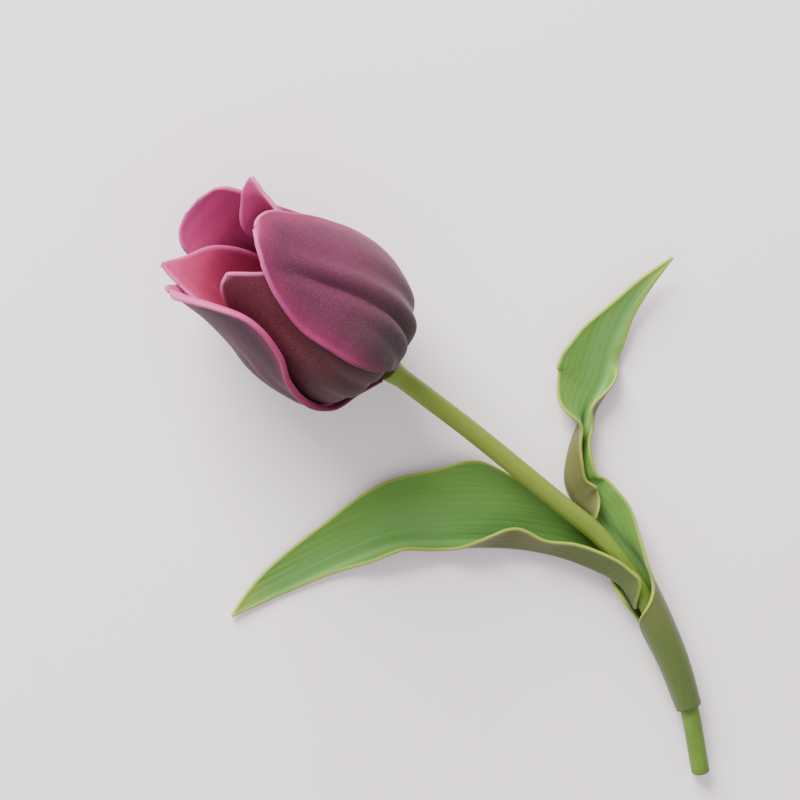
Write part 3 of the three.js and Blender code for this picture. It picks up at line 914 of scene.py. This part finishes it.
def swept(name, node, path, radii, material):
    """A closed tube. `radii` holds one row of radii, one for each side, at each path point."""
    rings, sides = radii.shape
    first, second = (way[:, None, :] for way in frames_along(path))
    turn = turns(sides)
    ring = np.cos(turn)[None, :, None] * first + np.sin(turn)[None, :, None] * second
    grid = path[:, None, :] + radii[:, :, None] * ring
    points = np.concatenate([grid.reshape(-1, 3), path[:1], path[-1:]])
    at = np.arange(rings * sides).reshape(rings, sides)
    after = np.roll(at, -1, axis=1)
    faces = np.stack([at[:-1], after[:-1], after[1:], at[1:]], axis=-1).reshape(-1, 4).tolist()
    foot, tip = rings * sides, rings * sides + 1
    faces += [[foot, int(after[0, j]), int(at[0, j])] for j in range(sides)]
    faces += [[tip, int(at[-1, j]), int(after[-1, j])] for j in range(sides)]
    length = distance_along(path)
    ones = np.ones(sides)
    ends = [length[0], length[-1]]
    painted = {
        "along": np.concatenate([np.outer(length / length[-1], ones).ravel(), [0, 1]]),
        "along_mm": np.concatenate([np.outer(length, ones).ravel(), ends]),
        "turn": np.concatenate([np.outer(np.ones(rings), turn).ravel(), [0, 0]]),
        "from_axis_mm": np.concatenate([radii.ravel(), [0, 0]]),
    }
    return make_piece(name, node, points, faces, painted, material)


# %% [markdown]
# ## The stem
#
# The stem is a smooth juicy stalk, yellow-green near the head and greener lower down, with very
# faint lines along it. At the top it swells into the seat that carries the petals. The cut end
# shows paler pith, so the finish reads how far a point is from the axis there.

# %% Stem
STEM_RADIUS = 2.5
SEAT_RADIUS = 3.1
SEAT_LENGTH = 5
JOINT_GAP = 0.35
STEM_RINGS = 320
STEM_SIDES = 48
STEM_RIBS, STEM_RIB_DEPTH = 9, 0.012  # how many, and how deep as a share of the radius
END_ROUNDING = np.array([0.0, 0.35, 0.62, 0.82, 0.94])  # radii of the rings that close an end
INNERMOST = 0.3  # the first of those rings, as a share of the second
FOOT_BULGE, TOP_BULGE = 0.12, 0.1  # how far the middle of each end stands out
STEM_PATH = [
    [-146, 35, 2.5],
    [-130, 22.5, 4],
    [-118, 15.5, 5],
    [-105.5, 9.5, 5.7],
    [-93, 4.5, 6],
    [-77.5, 1, 6.8],
    [-63, 0.5, 7.8],
    [-45, 0, 9.3],
    [-29.5, -0.3, 11.1],
    [-13, -0.2, 13.7],
]


def stem_finish():
    finish = Finish("stem")
    along, along_mm = finish.painted("along"), finish.painted("along_mm")
    turn, from_axis = finish.painted("turn"), finish.painted("from_axis_mm")
    lines = finish.streaks(turn.sin() * 6, along_mm, 1.2, 0.03)
    fine = finish.streaks((turn * 2).sin() * 9, along_mm, 1.5, 0.05, seed=5.0)
    cloud = finish.grain(7, detail=3)
    skin = finish.blend(along.rise(0.2, 0.75), 0x4C6C1E, 0x6C7E26)
    skin = finish.blend(cloud.rise(0.35, 0.7) * 0.35, skin, 0x6E882E)
    skin = finish.blend(lines.rise(0.4, 0.75) * 0.3, skin, 0x56701E)
    cut = (1 - along_mm.rise(0.02, 0.3)) * (1 - from_axis.rise(1.7, 2.3))
    colour = finish.blend(cut * (0.75 + cloud * 0.3), skin, 0xC9CF98)
    return finish.surface(
        Base_Color=colour,
        Roughness=0.48 + cloud * 0.14,
        Normal=finish.bump(lines * 0.6 + fine * 0.4, 0.14),
        Specular_IOR_Level=0.35,
        Subsurface_Weight=0.12,
        Subsurface_Radius=(0.6, 0.9, 0.3),
        Subsurface_Scale=0.0015,
    )


def make_stem(material):
    axis = np.array([math.sin(HEAD_LEAN), 0, math.cos(HEAD_LEAN)])
    top = HEAD_BASE - JOINT_GAP * axis
    path = track([*STEM_PATH, top.tolist()], 3)(np.linspace(0, 1, STEM_RINGS))
    length = distance_along(path)
    swell = eased(np.clip(1 - (length[-1] - length) / SEAT_LENGTH, 0, 1))
    radius = STEM_RADIUS + (SEAT_RADIUS - STEM_RADIUS) * swell
    ribs = STEM_RIB_DEPTH * np.cos(STEM_RIBS * turns(STEM_SIDES))
    radii = radius[:, None] * (1 + ribs[None, :])

    # Both ends are closed by rings that step in towards the axis.
    count = len(END_ROUNDING)
    closing, opening = END_ROUNDING[::-1], END_ROUNDING
    foot, tip = np.repeat(path[:1], count, axis=0), np.repeat(path[-1:], count, axis=0)
    foot -= unit(path[1] - path[0]) * FOOT_BULGE * (1 - opening**2)[:, None]
    tip += unit(path[-1] - path[-2]) * TOP_BULGE * (1 - closing**2)[:, None]
    path = np.concatenate([foot, path, tip])
    radii = np.concatenate([radii[0] * opening[:, None], radii, radii[-1] * closing[:, None]])
    radii[0], radii[-1] = radii[1] * INNERMOST, radii[-2] * INNERMOST
    return swept("stem_stalk", "stem", path, radii, material)


make_stem(stem_finish())

# %% [markdown]
# ## The pistil and the stamens
#
# Down in the cup stands the pistil: a three-sided green ovary with a pale three-lobed stigma that
# feels like felt. Six stamens stand round it, each a slim purple filament with a dark anther
# dusted with pollen. They hardly show, but they are there when the cup is looked into.

# %% Pistil
PISTIL_SIDES = 60
PISTIL_RINGS = 110
CRINKLES, CRINKLE_DEPTH = 11, 0.04  # the stigma's wavy edge
# Height, radius, and how strongly the three sides stand out.
PISTIL_PROFILE = [
    [0.4, 1.1, 0],
    [3.2, 1.25, 0],
    [6.5, 2.6, 0.05],
    [12, 2.75, 0.09],
    [15.2, 2.1, 0.16],
    [16.2, 2.5, 0.45],
    [17, 3.0, 0.5],
    [17.8, 2.4, 0.45],
    [18.3, 0.6, 0.1],
]


def head_axis_path(heights):
    """Points on the head's axis at these heights above its base."""
    return head_to_table(np.stack([0 * heights, 0 * heights, heights], axis=-1))


def pistil_finish():
    finish = Finish("pistil")
    along, turn = finish.painted("along"), finish.painted("turn")
    cloud, felt = finish.grain(2.5, detail=3), finish.grain(0.35)
    ridge = (turn * 3).sin() * 0.5 + 0.5
    ovary = finish.blend(cloud * 0.6 + ridge * 0.4, 0x9FB068, 0xB9C486)
    colour = finish.blend(along.rise(0.8, 0.88), ovary, 0xE3DDA0)
    height = felt * along.rise(0.78, 0.9) + cloud * 0.2
    return finish.surface(
        Base_Color=colour,
        Roughness=0.5 + along.rise(0.8, 0.9) * 0.4,
        Normal=finish.bump(height, 0.25),
        Subsurface_Weight=0.1,
        Subsurface_Scale=0.001,
    )


def make_pistil(material):
    heights = np.linspace(PISTIL_PROFILE[0][0], PISTIL_PROFILE[-1][0], PISTIL_RINGS)
    shape = track(PISTIL_PROFILE, 1)((heights - heights[0]) / (heights[-1] - heights[0]))
    turn = turns(PISTIL_SIDES)
    lobes = np.cos(3 * turn)[None, :]
    crinkle = 1 + CRINKLE_DEPTH * np.sin(CRINKLES * turn)[None, :] * shape[:, 2:3]
    radii = shape[:, 1:2] * (1 + shape[:, 2:3] * lobes) * crinkle
    swept("pistil_column", "pistil", head_axis_path(heights), radii, material)


make_pistil(pistil_finish())

# %% Stamens
STAMENS = 6
STAMEN_FOOT = np.array([3.4, 4.6])  # a filament's foot: distance from the axis, and height
STAMEN_TOP = np.array([6.2, 15.5])  # the same for its top
FILAMENT_RADIUS = 0.55
ANTHER_RADIUS = 1.1
ANTHER_LENGTH = 8
FILAMENT_RINGS, FILAMENT_SIDES = 30, 16
ANTHER_RINGS, ANTHER_SIDES = 60, 28
FILAMENT_TAPER = 0.35


def filament_finish():
    finish = Finish("filament")
    along = finish.painted("along")
    cloud = finish.grain(1.2)
    colour = finish.blend(along, 0xB9B48A, 0x5A3050)
    colour = finish.blend(cloud * 0.4, colour, 0x7A5A70)
    return finish.surface(
        Base_Color=colour, Roughness=0.5 + cloud * 0.2, Normal=finish.bump(cloud, 0.05)
    )


def anther_finish():
    finish = Finish("anther")
    pollen, cloud = finish.grain(0.3), finish.grain(1.5)
    colour = finish.blend(cloud, 0x2A1A2A, 0x3E2840)
    colour = finish.blend(pollen.rise(0.55, 0.72) * 0.6, colour, 0x8A7A52)
    return finish.surface(
        Base_Color=colour, Roughness=0.85 + cloud * 0.1, Normal=finish.bump(pollen, 0.2)
    )


def stamen_path(index, distances):
    """Points along one stamen, at these distances from its foot."""
    turn = 2 * math.pi * (index + 0.5) / STAMENS
    lean = unit(STAMEN_TOP - STAMEN_FOOT)
    radius, height = STAMEN_FOOT[:, None] + lean[:, None] * distances[None, :]
    return head_to_table(
        np.stack([radius * math.cos(turn), radius * math.sin(turn), height], axis=-1)
    )


def make_stamen(index, filament_material, anther_material):
    length = np.linalg.norm(STAMEN_TOP - STAMEN_FOOT)
    along = np.linspace(0, 1, FILAMENT_RINGS)
    radii = FILAMENT_RADIUS * (1 - FILAMENT_TAPER * along**2)
    end = np.clip((1.02 - along) * FILAMENT_RINGS, 0, 1) ** 0.5  # rounds off the last ring
    radii = np.outer(radii * end, np.ones(FILAMENT_SIDES))
    name = f"filament_{index + 1}"
    path = stamen_path(index, along * length)
    swept(name + "_stalk", name, path, radii, filament_material)

    along = np.linspace(0, 1, ANTHER_RINGS)
    turn = turns(ANTHER_SIDES)
    profile = ANTHER_RADIUS * np.sqrt(np.clip(1 - (2 * along - 1) ** 4, 0.002, 1))
    slit = 0.1 * np.exp(-(((turn - math.pi / 2) / 0.3) ** 2))
    radii = profile[:, None] * (0.88 + 0.12 * np.cos(2 * turn) - slit)[None, :]
    path = stamen_path(index, length + JOINT_GAP + along * ANTHER_LENGTH)
    name = f"anther_{index + 1}"
    swept(name + "_sac", name, path, radii, anther_material)


filament_purple, anther_dark = filament_finish(), anther_finish()
for index in range(STAMENS):
    make_stamen(index, filament_purple, anther_dark)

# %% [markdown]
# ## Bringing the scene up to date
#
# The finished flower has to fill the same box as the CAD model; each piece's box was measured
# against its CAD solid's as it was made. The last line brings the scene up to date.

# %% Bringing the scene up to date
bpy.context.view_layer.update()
